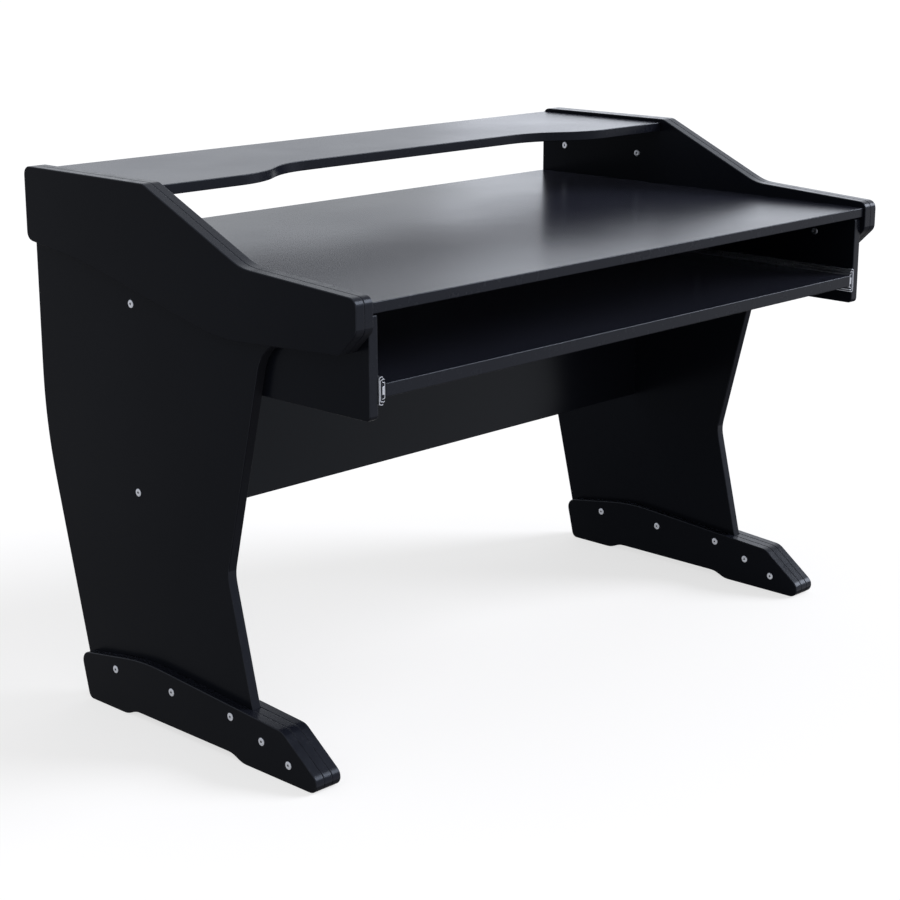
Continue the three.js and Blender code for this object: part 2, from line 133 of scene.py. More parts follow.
# %% [markdown]
# ## Black laminate
# The faces of the boards are a black melamine skin with a fine pearl texture. It looks almost black from
# above and turns to a soft grey mirror at a low angle, so the reflection matters more than the colour.
# A low specular level keeps the black deep where it is seen square on, and a thin cool haze of sheen
# stands for the light that the pearl scatters at a low angle. The texture is bump from two noises: the
# pearl itself, and a slow waviness of the pressed board under it. A faint cloudiness in the roughness
# stands for handling. The boards between the sides have a softly polished skin, and the sides a duller
# one, so one function makes both.

# %% Black laminate
LAMINATE_BLACK = (0.0050, 0.0057, 0.0085)
LAMINATE_WORN = (0.0060, 0.0068, 0.0098)
POLISHED_SPECULAR = 0.12
POLISHED_ROUGHNESS = (0.21, 0.26)
POLISHED_HAZE = 0.065
DULL_SPECULAR = 0.03
DULL_ROUGHNESS = (0.22, 0.28)
DULL_HAZE = 0.03
HAZE_ROUGHNESS = 0.25
HAZE_TINT = (0.72, 0.72, 1.0)
COOL_SHINE = (0.8, 0.88, 1.0)
PEARL_GRAIN = (620.0, 2.0)
PEARL_HEIGHT = 0.000003
WAVE_GRAIN = (9.0, 1.0)
WAVE_HEIGHT = 0.00015
CLOUD_GRAIN = (3.2, 3.0)


def laminate_skin(name, specular, roughness, haze):
    material, skin_tree, skin = start_material(name)
    clouds = object_noise(skin_tree, CLOUD_GRAIN)
    colour = two_colours(skin_tree, spread(skin_tree, clouds, 0.0, 1.0), LAMINATE_BLACK, LAMINATE_WORN)
    skin_tree.links.new(colour, skin.inputs["Base Color"])
    skin_tree.links.new(spread(skin_tree, clouds, *roughness), skin.inputs["Roughness"])
    skin.inputs["Specular IOR Level"].default_value = specular
    skin.inputs["Specular Tint"].default_value = (*COOL_SHINE, 1.0)
    skin.inputs["Sheen Weight"].default_value = haze
    skin.inputs["Sheen Roughness"].default_value = HAZE_ROUGHNESS
    skin.inputs["Sheen Tint"].default_value = (*HAZE_TINT, 1.0)
    waves = add_node(skin_tree, "ShaderNodeBump", Height=object_noise(skin_tree, WAVE_GRAIN),
                     Distance=WAVE_HEIGHT)
    pearl = add_node(skin_tree, "ShaderNodeBump", Height=object_noise(skin_tree, PEARL_GRAIN),
                     Distance=PEARL_HEIGHT, Normal=waves.outputs["Normal"])
    skin_tree.links.new(pearl.outputs["Normal"], skin.inputs["Normal"])
    return material


polished_laminate = laminate_skin("polished_laminate", POLISHED_SPECULAR, POLISHED_ROUGHNESS, POLISHED_HAZE)
dull_laminate = laminate_skin("dull_laminate", DULL_SPECULAR, DULL_ROUGHNESS, DULL_HAZE)
print("laminate skins:", polished_laminate.name, dull_laminate.name)

# %% [markdown]
# ## Edge band
# Every board's edge carries a band of black plastic. It has no pearl texture, only the fine marks of the
# scraper that made it flush, and its rounded arris is worn a little paler. The mesh says where the
# arris is with an attribute of that name, so the wear follows the edge on every board. Hands and cloths
# polish the edges that can be reached from above. The ones that face the floor are duller, with a paler
# body that is painted light and a darker arris that is painted shade, so one function makes both bands.

# %% Edge band
BAND_BLACK = (0.0082, 0.0090, 0.0135)
BAND_ARRIS = (0.028, 0.030, 0.037)
BAND_SPECULAR = 0.12
# The band that faces the floor: its paler body is painted light in place of the floor's reflection, and its
# darker arris is painted shade.
UNDER_BAND_PAINTED_LIGHT = (0.0165, 0.0170, 0.0205)
UNDER_ARRIS_PAINTED_SHADE = (0.0080, 0.0086, 0.0120)
UNDER_SPECULAR = 0.004
BAND_ROUGHNESS = (0.2, 0.3)
RUB_GRAIN = (60.0, 4.0)
RUB_SHARE = (0.25, 1.0)
SCRAPE_GRAIN = (900.0, 2.0)
SCRAPE_HEIGHT = 0.000002


def band_skin(name, black, arris_colour, specular):
    material, band_tree, skin = start_material(name)
    arris = add_node(band_tree, "ShaderNodeAttribute", {"attribute_name": "arris"}).outputs["Fac"]
    patches = spread(band_tree, object_noise(band_tree, RUB_GRAIN), *RUB_SHARE)
    arris_wear_and_painted_shade = add_node(band_tree, "ShaderNodeMath", {"operation": "MULTIPLY"})
    band_tree.links.new(arris, arris_wear_and_painted_shade.inputs[0])
    band_tree.links.new(patches, arris_wear_and_painted_shade.inputs[1])
    # On the band that faces the floor, the darker arris colour is painted shade along that arris.
    colour = two_colours(band_tree, arris_wear_and_painted_shade.outputs["Value"], black, arris_colour)
    band_tree.links.new(colour, skin.inputs["Base Color"])
    dullness = spread(band_tree, patches, *BAND_ROUGHNESS, *RUB_SHARE)
    band_tree.links.new(dullness, skin.inputs["Roughness"])
    skin.inputs["Specular IOR Level"].default_value = specular
    skin.inputs["Specular Tint"].default_value = (*COOL_SHINE, 1.0)
    scrapes = add_node(band_tree, "ShaderNodeBump", Height=object_noise(band_tree, SCRAPE_GRAIN),
                       Distance=SCRAPE_HEIGHT)
    band_tree.links.new(scrapes.outputs["Normal"], skin.inputs["Normal"])
    return material


edge_band = band_skin("edge_band", BAND_BLACK, BAND_ARRIS, BAND_SPECULAR)
# This copy of the band, for edges that face the floor, carries painted light on its body and painted shade
# on its arris.
under_band_painted_light_and_shade = band_skin("under_band_painted_light_and_shade", UNDER_BAND_PAINTED_LIGHT, UNDER_ARRIS_PAINTED_SHADE, UNDER_SPECULAR)
print("edge bands:", edge_band.name, under_band_painted_light_and_shade.name)

# %% [markdown]
# ## Glue line
# Between the laminate and the band runs a hair of hot glue, as black as they are and much duller. It
# could be a line drawn by a texture, but a strip of its own in the mesh stays sharp at any distance. One
# noise in its colour is enough, because it is a quarter of a millimetre wide.

# %% Glue line
GLUE_DARK = (0.0045, 0.0048, 0.0060)
GLUE_PALE = (0.0075, 0.0080, 0.0098)
GLUE_ROUGHNESS = 0.6
GLUE_GRAIN = (150.0, 2.0)

glue_line, tree, skin = start_material("glue_line")
tree.links.new(two_colours(tree, object_noise(tree, GLUE_GRAIN), GLUE_DARK, GLUE_PALE),
               skin.inputs["Base Color"])
skin.inputs["Roughness"].default_value = GLUE_ROUGHNESS
skin.inputs["Specular IOR Level"].default_value = DULL_SPECULAR
print("glue line ready")

# %% [markdown]
# ## Zinc plated steel
# The slides, bolts and screws are steel with a zinc plating. Zinc grows in small patches, each a little
# brighter or duller, and a slide shows fine lines along its length from the rollers that formed it. A
# metallic shader with noise in its colour and roughness gives the patches, and a noise that is stretched
# along the slide gives the lines. A steel shape takes the zinc on all of its faces.

# %% Zinc plated steel
ZINC_PALE = (0.54, 0.555, 0.60)
ZINC_DULL = (0.36, 0.37, 0.405)
ZINC_ROUGHNESS = (0.34, 0.5)
PATCH_GRAIN = (420.0, 3.0)
ROLL_GRAIN = (1400.0, 2.0)
ROLL_STRETCH = (1.0, 0.02, 1.0)
ROLL_HEIGHT = 0.000002

zinc, tree, skin = start_material("zinc_plate")
patches = object_noise(tree, PATCH_GRAIN)
tree.links.new(two_colours(tree, spread(tree, patches, 0.0, 1.0), ZINC_PALE, ZINC_DULL),
               skin.inputs["Base Color"])
tree.links.new(spread(tree, patches, *ZINC_ROUGHNESS), skin.inputs["Roughness"])
skin.inputs["Metallic"].default_value = 1.0
rolls = add_node(tree, "ShaderNodeBump", Height=object_noise(tree, ROLL_GRAIN, ROLL_STRETCH),
                 Distance=ROLL_HEIGHT)
tree.links.new(rolls.outputs["Normal"], skin.inputs["Normal"])
ALL_ZINC = (zinc,) * 3
print("zinc roughness", ZINC_ROUGHNESS)

# %% [markdown]
# ## Ball steel and socket
# The balls are polished steel. The sockets of the bolts are darker and duller than their heads: the
# darker colour is painted shade in the recess. Each is a small area, so one noise in its colour and
# roughness is enough, and one function makes both.

# %% Ball steel and socket
BALL_STEEL = (0.72, 0.73, 0.75)
BALL_ROUGHNESS = (0.05, 0.14)
# The socket's darker colour is painted shade in its recess.
SOCKET_PAINTED_SHADE = (0.13, 0.13, 0.135)
SOCKET_ROUGHNESS = (0.45, 0.6)
SOCKET_METAL = 0.6
SMALL_GRAIN = (700.0, 2.0)
SMALL_SHADE = 0.86


def small_finish(name, colour, roughness, metallic):
    material, small_tree, small_skin = start_material(name)
    grain = object_noise(small_tree, SMALL_GRAIN)
    darker = tuple(SMALL_SHADE * part for part in colour)
    small_tree.links.new(two_colours(small_tree, grain, colour, darker), small_skin.inputs["Base Color"])
    small_tree.links.new(spread(small_tree, grain, *roughness), small_skin.inputs["Roughness"])
    small_skin.inputs["Metallic"].default_value = metallic
    return material


ball_steel = small_finish("ball_steel", BALL_STEEL, BALL_ROUGHNESS, 1.0)
# The socket material is painted shade in the recess of each head.
socket_painted_shade = small_finish("socket_painted_shade", SOCKET_PAINTED_SHADE, SOCKET_ROUGHNESS, SOCKET_METAL)
print("small finishes:", ball_steel.name, socket_painted_shade.name)

# %% [markdown]
# ## The outline of a board
# Each board was sawn to its own outline, and the CAD solid already has it. It could be typed in again,
# but taking it from the solid keeps the two from drifting apart. A flat cut just inside one face gives
# closed loops, clear of the screws in the middle of the board's thickness. A hole's loop is shorter, so
# the longest one is the outline.

# %% The outline of a board
MERGE = 0.00001
CUT_DEPTH = 0.003


def plane_point(axis, across, along):
    point = [across[0], across[1]]
    point.insert(axis, along)
    return Vector(point)


def cut_edges(node, axis, place):
    solid = bmesh.new()
    solid.from_mesh(nodes[node].data)
    bmesh.ops.remove_doubles(solid, verts=solid.verts, dist=MERGE)
    normal = plane_point(axis, (0, 0), 1)
    everything = solid.verts[:] + solid.edges[:] + solid.faces[:]
    bmesh.ops.bisect_plane(solid, geom=everything, plane_co=normal * place, plane_no=normal,
                           clear_inner=True, clear_outer=True)
    kept = [k for k in range(3) if k != axis]
    pairs = [[tuple(vert.co[k] for k in kept) for vert in edge.verts] for edge in solid.edges]
    solid.free()
    return pairs


def perimeter(loop):
    return sum((Vector(a) - Vector(b)).length for a, b in zip(loop, loop[1:] + loop[:1]))


def longest_loop(pairs):
    neighbours = {}
    for first, second in pairs:
        neighbours.setdefault(first, set()).add(second)
        neighbours.setdefault(second, set()).add(first)
    loops = []
    while neighbours:
        point = next(iter(neighbours))
        loop = []
        while point is not None:
            loop.append(point)
            around = neighbours.pop(point)
            point = next((other for other in around if other in neighbours), None)
        loops.append(loop)
    return max(loops, key=perimeter)


sample = longest_loop(cut_edges("left_outer_cheek", 0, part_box("left_outer_cheek")[0][0] + CUT_DEPTH))
print("cheek outline:", len(sample), "points,", round(perimeter(sample), 3), "m round")

# %% [markdown]
# ## A smooth outline
# The curves of the CAD outline are facets, but a saw follows a smooth line. A Subdivision Surface would
# round the real corners too, so the points are read one by one. Where the loop turns a little it is a
# curve, and the point becomes a short curve between the middles of the two sides that meet there. Where
# it turns sharply it is a real corner, and it gets a small radius.

# %% A smooth outline
FACET_TURN = math.radians(50)
STRAIGHT_TURN = math.radians(0.4)
CURVE_STEPS = 4
BOARD_CORNER = 0.003


def turn_at(loop, i):
    before = loop[i] - loop[i - 1]
    after = loop[(i + 1) % len(loop)] - loop[i]
    return before, after, abs(before.angle_signed(after))


def without_straight_points(loop):
    return [point for i, point in enumerate(loop) if turn_at(loop, i)[2] > STRAIGHT_TURN]


def counterclockwise(loop):
    area = sum(a.cross(b) for a, b in zip(loop, loop[1:] + loop[:1]))
    return loop if area > 0 else loop[::-1]


def smooth_outline(points, corner):
    loop = without_straight_points(counterclockwise([Vector(point) for point in points]))
    smooth = []
    for i, point in enumerate(loop):
        before, after, turn = turn_at(loop, i)
        reach = min(before.length, after.length) / 2
        if turn > FACET_TURN:
            reach = min(reach, corner * math.tan(turn / 2))
        start = point - before.normalized() * reach
        end = point + after.normalized() * reach
        for step in range(CURVE_STEPS + 1):
            share = step / CURVE_STEPS
            blend = start * (1 - share) ** 2 + point * 2 * share * (1 - share) + end * share ** 2
            if not smooth or (blend - smooth[-1]).length > MERGE:
                smooth.append(blend)
    if (smooth[0] - smooth[-1]).length < MERGE:
        smooth.pop()
    return smooth


print("smooth cheek outline:", len(smooth_outline(sample, BOARD_CORNER)), "points")

# %% [markdown]
# ## A shape run from an outline
# A board is its outline given a thickness, with its two arrises eased. A Bevel would do that too, but
# here the arris and the glue line need faces of their own. So the mesh is a stack of rings: the ring
# steps in and down a quarter circle at each arris, and two flat faces close the ends. Each point keeps
# its true normal, so the flat faces stay flat and the arris shades as a round. The same run makes the
# steel channels of the slides, with a smaller round and no glue line. The slots say which material a
# face takes.

# %% A shape run from an outline
ROUND_STEPS = 4
LEAST_MITRE = 0.3
FACE_SLOT, EDGE_SLOT, GLUE_SLOT, UNDER_SLOT = range(4)


def outward_normals(loop):
    normals = []
    for i in range(len(loop)):
        before, after, _ = turn_at(loop, i)
        total = before + after
        normals.append(Vector((total.y, -total.x)).normalized())
    return normals


def mitre(loop, normals, inset):
    points = []
    for i, point in enumerate(loop):
        before, _, _ = turn_at(loop, i)
        side = Vector((before.y, -before.x)).normalized()
        points.append(point - normals[i] * (inset / max(side.dot(normals[i]), LEAST_MITRE)))
    return points


def round_rows(round_radius, seam):
    rows = [(round_radius + seam, 0.0, 0.0)] if seam else []
    for step in range(ROUND_STEPS + 1):
        angle = step / ROUND_STEPS * math.pi / 2
        rows.append((round_radius * (1 - math.sin(angle)), round_radius * (1 - math.cos(angle)), angle))
    return rows


def run_mesh(name, loop, axis, low, high, round_radius, seam=0.0):
    normals = outward_normals(loop)
    along = plane_point(axis, (0, 0), 1)
    rows = round_rows(round_radius, seam)
    stack = [(inset, low + depth, angle, -1) for inset, depth, angle in rows]
    stack += [(inset, high - depth, angle, 1) for inset, depth, angle in reversed(rows)]
    points, point_normals, arris = [], [], []
    for inset, place, angle, sign in stack:
        for spot, normal in zip(mitre(loop, normals, inset), normals):
            points.append(plane_point(axis, spot, place))
            side = plane_point(axis, normal, 0.0)
            point_normals.append((side * math.sin(angle) + along * (sign * math.cos(angle))).normalized())
            arris.append(math.sin(2 * angle))
    count = len(loop)
    faces = [list(range(count))]
    slots = [FACE_SLOT]
    for row in range(len(stack) - 1):
        for i in range(count):
            j = (i + 1) % count
            faces.append([row * count + i, row * count + j, (row + 1) * count + j, (row + 1) * count + i])
            slots.append(GLUE_SLOT if seam and row in (0, len(stack) - 2) else EDGE_SLOT)
    faces.append([(len(stack) - 1) * count + i for i in range(count)])
    slots.append(FACE_SLOT)
    data = bpy.data.meshes.new(name)
    data.from_pydata(points, [], faces)
    data.polygons.foreach_set("material_index", slots)
    face_outward(data)
    cut_in_triangles(data)
    data.shade_smooth()
    data.attributes.new("arris", "FLOAT", "POINT").data.foreach_set("value", arris)
    data.normals_split_custom_set_from_vertices(point_normals)
    return data


def face_outward(data):
    shell = bmesh.new()
    shell.from_mesh(data)
    bmesh.ops.recalc_face_normals(shell, faces=shell.faces)
    shell.to_mesh(data)
    shell.free()


def cut_in_triangles(data):
    """A boolean or an export can cut a face with many corners badly, so it is cut here."""
    shell = bmesh.new()
    shell.from_mesh(data)
    bmesh.ops.triangulate(shell, faces=shell.faces)
    shell.to_mesh(data)
    shell.free()


def show(name, data, materials):
    for material in materials:
        data.materials.append(material)
    piece = bpy.data.objects.new(name, data)
    bpy.context.scene.collection.objects.link(piece)
    return piece


print("round of", ROUND_STEPS, "steps at each arris")

# %% [markdown]
# ## The boards
# The desk has sixteen boards. All are the same stuff: laminated particle board with a plastic band on
# each edge, so one function finishes them all. It asks the CAD node for its box, and the thinnest side of
# the box is the board's thickness. The four boards that run across get the polished skin and the twelve
# of the sides the dull one, and the edges that face the floor get the dull band with painted light and
# shade.

# %% The boards
ARRIS_RADIUS = 0.0015
GLUE_WIDTH = 0.00025
UNDERSIDE = -0.1
SIDES = {"left": -1, "right": 1}  # and which way along X is outward
CROSS_BOARDS = {"tabletop": "desk", "riser_shelf": "desk", "modesty_panel": "desk",
                "keyboard_tray": "keyboard_tray"}
SIDE_BOARDS = ("leg_panel", "outer_cheek", "foot_outer_board", "foot_filler", "foot_inner_board",
               "tray_side_panel")


def finish_board(node, body, laminate):
    low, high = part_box(node)
    sizes = [high[k] - low[k] for k in range(3)]
    axis = sizes.index(min(sizes))
    loop = smooth_outline(longest_loop(cut_edges(node, axis, low[axis] + CUT_DEPTH)), BOARD_CORNER)
    name = "finished_" + node
    data = run_mesh(name, loop, axis, low[axis], high[axis], ARRIS_RADIUS, GLUE_WIDTH)
    # Edges that face the floor take the band with painted light on its body and painted shade on its arris.
    for face in data.polygons:
        if face.material_index == EDGE_SLOT and face.normal.z < UNDERSIDE:
            face.material_index = UNDER_SLOT
    piece = show(name, data, (laminate, edge_band, glue_line, under_band_painted_light_and_shade))
    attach(piece, body)
    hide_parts(node)
    print(node, "outline of", len(loop), "points")


for node, body in CROSS_BOARDS.items():
    finish_board(node, body, polished_laminate)
for side in SIDES:
    for board in SIDE_BOARDS:
        finish_board(f"{side}_{board}", "desk", dull_laminate)

# %% [markdown]
# ## The channels of the slides
# A slide is three steel channels, one inside the other, that were rolled from strip. Their section comes
# from the CAD solid, cut where there is no hole, and is run along the slide with a small round at each
# end. Rolled steel is punched after that, and so is this: a boolean cuts the fixing holes and slots,
# which take turns along the web. The middle channel has only the slots.

# %% The channels of the slides
STEEL_ROUND = 0.00015
STEEL_CORNER = 0.0003
SECTION_PLACE = 0.1
HOLE_COUNT = 9
HOLE_PITCH = 0.0475
HOLE_START = 0.035
HOLE_RADIUS = 0.00225
SLOT_HALF = 0.0035
PUNCH_OVERRUN = 0.0035
HOLE_SIDES = 24
SHARP_EDGE = math.radians(35)


def rail_mesh(node, name):
    low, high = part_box(node)
    section = longest_loop(cut_edges(node, 1, low[1] + SECTION_PLACE))
    return run_mesh(name, smooth_outline(section, STEEL_CORNER), 1, low[1], high[1], STEEL_ROUND)


def slot_outline(middle, half, radius):
    points = []
    for i in range(HOLE_SIDES):
        angle = 2 * math.pi * (i + 0.5) / HOLE_SIDES
        shift = half if math.cos(angle) > 0 else -half
        points.append(Vector((middle[0] + shift + radius * math.cos(angle),
                              middle[1] + radius * math.sin(angle))))
    return points


def punch(piece, node, slots):
    low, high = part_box(node)
    cutters = bmesh.new()
    for place, half in slots:
        middle = (low[1] + place, (low[2] + high[2]) / 2)
        ring = slot_outline(middle, half, HOLE_RADIUS)
        bottom = [cutters.verts.new((low[0] - PUNCH_OVERRUN, *point)) for point in ring]
        top = [cutters.verts.new((high[0] + PUNCH_OVERRUN, *point)) for point in ring]
        cutters.faces.new(bottom[::-1])
        cutters.faces.new(top)
        for i in range(HOLE_SIDES):
            j = (i + 1) % HOLE_SIDES
            cutters.faces.new((bottom[i], bottom[j], top[j], top[i]))
    data = bpy.data.meshes.new("punches")
    bmesh.ops.recalc_face_normals(cutters, faces=cutters.faces)
    cutters.to_mesh(data)
    cutters.free()
    punches = show("punches", data, ())
    boolean = piece.modifiers.new("punch", "BOOLEAN")
    boolean.object = punches
    boolean.solver = "EXACT"
    piece.data = made_plain(piece)
    bpy.data.objects.remove(punches)
    piece.data.shade_smooth()
    piece.data.set_sharp_from_angle(angle=SHARP_EDGE)


def made_plain(piece):
    """The mesh that the modifiers make, with the modifiers taken off."""
    evaluated = piece.evaluated_get(bpy.context.evaluated_depsgraph_get())
    data = bpy.data.meshes.new_from_object(evaluated)
    piece.modifiers.clear()
    return data


HOLES = [(HOLE_START + i * HOLE_PITCH, SLOT_HALF * (i % 2)) for i in range(HOLE_COUNT)]
SLOTS_ONLY = HOLES[1::2]
RAILS = {"cabinet_member": ("desk", HOLES), "middle_member": (None, SLOTS_ONLY),
         "drawer_member": ("keyboard_tray", HOLES)}


def ride_and_replace(piece, body, node):
    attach(piece, body)
    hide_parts(node)


for side in SIDES:
    for member, (body, slots) in RAILS.items():
        node = f"{side}_slide_{member}"
        name = node + "_rail"
        rail = show(name, rail_mesh(node, name), ALL_ZINC)
        punch(rail, node, slots)
        ride_and_replace(rail, body or f"{side}_{member}", node)
        print(node, len(rail.data.polygons), "faces")

# %% [markdown]
# ## The tab at the front of a slide
# At its front end the inner channel has a tab, a little plate bent in from the web. It stops the tray
# when it is pushed home, and it is the bright spot at each end of the tray. It is its own small plate
# with rounded corners, set against the web.

# %% The tab at the front of a slide
TAB_HEIGHT = 0.013
TAB_REACH = 0.005
TAB_CORNER = 0.001
STEEL = 0.0012


def rectangle(low_u, high_u, low_v, high_v):
    return [(low_u, low_v), (high_u, low_v), (high_u, high_v), (low_u, high_v)]


for side, sign in SIDES.items():
    low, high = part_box(f"{side}_slide_drawer_member")
    web = (low[0] if sign > 0 else high[0]) + sign * STEEL / 2
    middle = (low[2] + high[2]) / 2
    ends = sorted((web, web + sign * TAB_REACH))
    outline = rectangle(*ends, middle - TAB_HEIGHT / 2, middle + TAB_HEIGHT / 2)
    name = f"{side}_slide_tab"
    data = run_mesh(name, smooth_outline(outline, TAB_CORNER), 1, low[1], low[1] + STEEL, STEEL_ROUND)
    tab = show(name, data, ALL_ZINC)
    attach(tab, "keyboard_tray")
    print(name, "from", round(ends[0], 4), "to", round(ends[1], 4))

# %% [markdown]
# ## Geometry Nodes for what repeats
# Balls and bolts repeat, so Geometry Nodes place them. A tree has named inputs for its sizes, and the
# same tree serves every row of balls and every set of bolts. These helpers start a tree, and grow a piece
# from a few points. The grown piece is turned into a plain mesh, because a modifier that stays on it
# would be lost later.

# %% Helpers for Geometry Nodes


def start_group(name, sizes):
    group = bpy.data.node_groups.new(name, "GeometryNodeTree")
    group.interface.new_socket("Geometry", in_out="INPUT", socket_type="NodeSocketGeometry")
    for label, kind in sizes:
        group.interface.new_socket(label, in_out="INPUT", socket_type=kind)
    group.interface.new_socket("Geometry", in_out="OUTPUT", socket_type="NodeSocketGeometry")
    return group, group.nodes.new("NodeGroupInput"), group.nodes.new("NodeGroupOutput")


def finish_group(group, last, output, finishes):
    """Realizes the instances and sets each material where its attribute says."""
    realized = add_node(group, "GeometryNodeRealizeInstances", Geometry=last)
    shown = realized.outputs["Geometry"]
    for material, attribute in finishes:
        painted = add_node(group, "GeometryNodeSetMaterial", Geometry=shown)
        painted.inputs["Material"].default_value = material
        if attribute:
            chosen = add_node(group, "GeometryNodeInputNamedAttribute", {"data_type": "BOOLEAN"},
                              Name=attribute)
            group.links.new(chosen.outputs["Attribute"], painted.inputs["Selection"])
        shown = painted.outputs["Geometry"]
    group.links.new(shown, output.inputs["Geometry"])


def grow(name, points, attributes, group, values):
    data = bpy.data.meshes.new(name)
    data.from_pydata(points, [], [])
    for label, kind, numbers in attributes:
        field = data.attributes.new(label, kind, "POINT").data
        field.foreach_set("vector" if kind == "FLOAT_VECTOR" else "value", numbers)
    piece = show(name, data, ())
    modifier = piece.modifiers.new("nodes", "NODES")
    modifier.node_group = group
    for item in group.interface.items_tree:
        if item.in_out == "INPUT" and item.name in values:
            modifier[item.identifier] = values[item.name]
    piece.data = made_plain(piece)
    return piece


print("Geometry Nodes helpers ready")

# %% [markdown]
# ## Cages and balls
# Between two channels runs a cage, a thin channel of its own that holds the balls apart. The balls sit
# half above and half below its flanges and roll between the channels, so a cage travels half as far as
# the channels move on each other. The balls could be copied by hand, but a tree of Geometry Nodes takes
# the first ball's place in each row, draws the row from it and sets a ball on each of its points.

# %% Cages and balls
BALL_SUBDIVISIONS = 3

ball_group, entry, leave = start_group("balls_in_a_cage", (
    ("Balls", "NodeSocketInt"), ("Pitch", "NodeSocketFloat"), ("Ball radius", "NodeSocketFloat")))
step = add_node(ball_group, "ShaderNodeCombineXYZ", Y=entry.outputs["Pitch"])
row = add_node(ball_group, "GeometryNodeMeshLine", Count=entry.outputs["Balls"],
               Offset=step.outputs["Vector"])
rows = add_node(ball_group, "GeometryNodeInstanceOnPoints", Points=entry.outputs["Geometry"],
                Instance=row.outputs["Mesh"])
places = add_node(ball_group, "GeometryNodeRealizeInstances", Geometry=rows.outputs["Instances"])
ball = add_node(ball_group, "GeometryNodeMeshIcoSphere", Radius=entry.outputs["Ball radius"],
                Subdivisions=BALL_SUBDIVISIONS)
round_ball = add_node(ball_group, "GeometryNodeSetShadeSmooth", Geometry=ball.outputs["Mesh"])
balls = add_node(ball_group, "GeometryNodeInstanceOnPoints", Points=places.outputs["Geometry"],
                 Instance=round_ball.outputs["Geometry"])
finish_group(ball_group, balls.outputs["Instances"], leave, ((ball_steel, ""),))
print("ball tree of", len(ball_group.nodes), "nodes")

# %% [markdown]
# ## The four cages
# Each slide has an outer cage and an inner one. The strip of a cage is run from the section of its CAD
# solid, as the channels are. Its two rows of balls, one above the other, start a little way in from its
# end, and strip and balls ride together on the cage's own body.

# %% The four cages
CAGE_SECTION_PLACE = 0.04
CAGE_ROUND = 0.0001
CAGE_CORNER = 0.0002
BALL_RADIUS = 0.0019
BALL_COUNT = 10
BALL_INSET = 0.012
BALL_ROWS = {  # how far from the side panel, and how far above or below the slide's middle
    "outer": (0.0056, 0.0195),
    "inner": (0.009, 0.01543),
}

for side, sign in SIDES.items():
    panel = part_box(f"{side}_slide_cabinet_member")[1 if sign > 0 else 0][0]
    for layer, (off, up) in BALL_ROWS.items():
        node = f"{side}_slide_{layer}_ball_cage"
        low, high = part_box(node)
        section = smooth_outline(longest_loop(cut_edges(node, 1, low[1] + CAGE_SECTION_PLACE)), CAGE_CORNER)
        name = node + "_strip"
        cage = show(name, run_mesh(name, section, 1, low[1], high[1], CAGE_ROUND), ALL_ZINC)
        ride_and_replace(cage, f"{side}_{layer}_cage", node)
        middle = (low[2] + high[2]) / 2
        pitch = (high[1] - low[1] - 2 * BALL_INSET) / (BALL_COUNT - 1)
        starts = [(panel - sign * off, low[1] + BALL_INSET, middle + half * up) for half in (-1, 1)]
        grown = grow(node + "_balls", starts, (), ball_group,
                     {"Balls": BALL_COUNT, "Pitch": pitch, "Ball radius": BALL_RADIUS})
        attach(grown, f"{side}_{layer}_cage")
        print(node, len(grown.data.polygons), "faces of balls, pitch", round(pitch, 4))

# %% [markdown]
# ## Heads of bolts and screws
# The bolts have a low round head, 14 mm across, with a hexagon socket. The screws that hold the slides
# are small and flat, with a cross in the head. Both are turned shapes with a socket sunk in the middle,
# so one function makes both: rings of points from the rim to the middle, where the inner rings follow the
# outline of the socket. That needs no boolean, which would leave ragged shading round so small a recess.
# The faces of the socket carry an attribute, which gives them a darker finish, painted shade in the recess.

# %% Heads of bolts and screws
HEAD_SIDES = 48
HEAD_PROFILE = (  # radius and height of each ring, in head diameters
    (0.5, 0.0), (0.5, 0.05), (0.492, 0.07), (0.46, 0.09), (0.4, 0.106), (0.3, 0.114))
SOCKET_LIP = 1.14
LIP_DEPTH_SHARE = 0.125
HEX_SHARE = 0.164
CROSS_REACH = 0.3
CROSS_WIDTH = 0.07
BOLT_SOCKET_DEPTH = 0.085
SCREW_SOCKET_DEPTH = 0.07


def hexagon(angle):
    return HEX_SHARE * math.cos(math.pi / 6) / math.cos(angle % (math.pi / 3) - math.pi / 6)


def cross(angle):
    run, rise = abs(math.cos(angle)) + MERGE, abs(math.sin(angle)) + MERGE
    return max(min(CROSS_REACH / run, CROSS_WIDTH / rise), min(CROSS_REACH / rise, CROSS_WIDTH / run))


def head_source(name, socket, depth):
    angles = [2 * math.pi * (i + 0.5) / HEAD_SIDES for i in range(HEAD_SIDES)]
    top = HEAD_PROFILE[-1][1]
    rings = [[(radius, height)] * HEAD_SIDES for radius, height in HEAD_PROFILE]
    rings.append([(min(SOCKET_LIP * socket(angle), HEAD_PROFILE[-1][0]), top) for angle in angles])
    rings.append([(socket(angle), top - LIP_DEPTH_SHARE * depth) for angle in angles])
    rings.append([(socket(angle), top - depth) for angle in angles])
    points = [(r * math.cos(a), r * math.sin(a), z) for ring in rings for (r, z), a in zip(ring, angles)]
    faces = [list(range(HEAD_SIDES))]
    for row in range(len(rings) - 1):
        start = row * HEAD_SIDES
        for i in range(HEAD_SIDES):
            j = (i + 1) % HEAD_SIDES
            faces.append([start + i, start + j, start + HEAD_SIDES + j, start + HEAD_SIDES + i])
    faces.append([len(points) - HEAD_SIDES + i for i in range(HEAD_SIDES)])
    data = bpy.data.meshes.new(name)
    data.from_pydata(points, [], faces)
    face_outward(data)
    data.shade_smooth()
    data.set_sharp_from_angle(angle=SHARP_EDGE)
    in_socket = [False] * (len(faces) - HEAD_SIDES - 1) + [True] * (HEAD_SIDES + 1)
    data.attributes.new("socket", "BOOLEAN", "FACE").data.foreach_set("value", in_socket)
    return show(name, data, ())


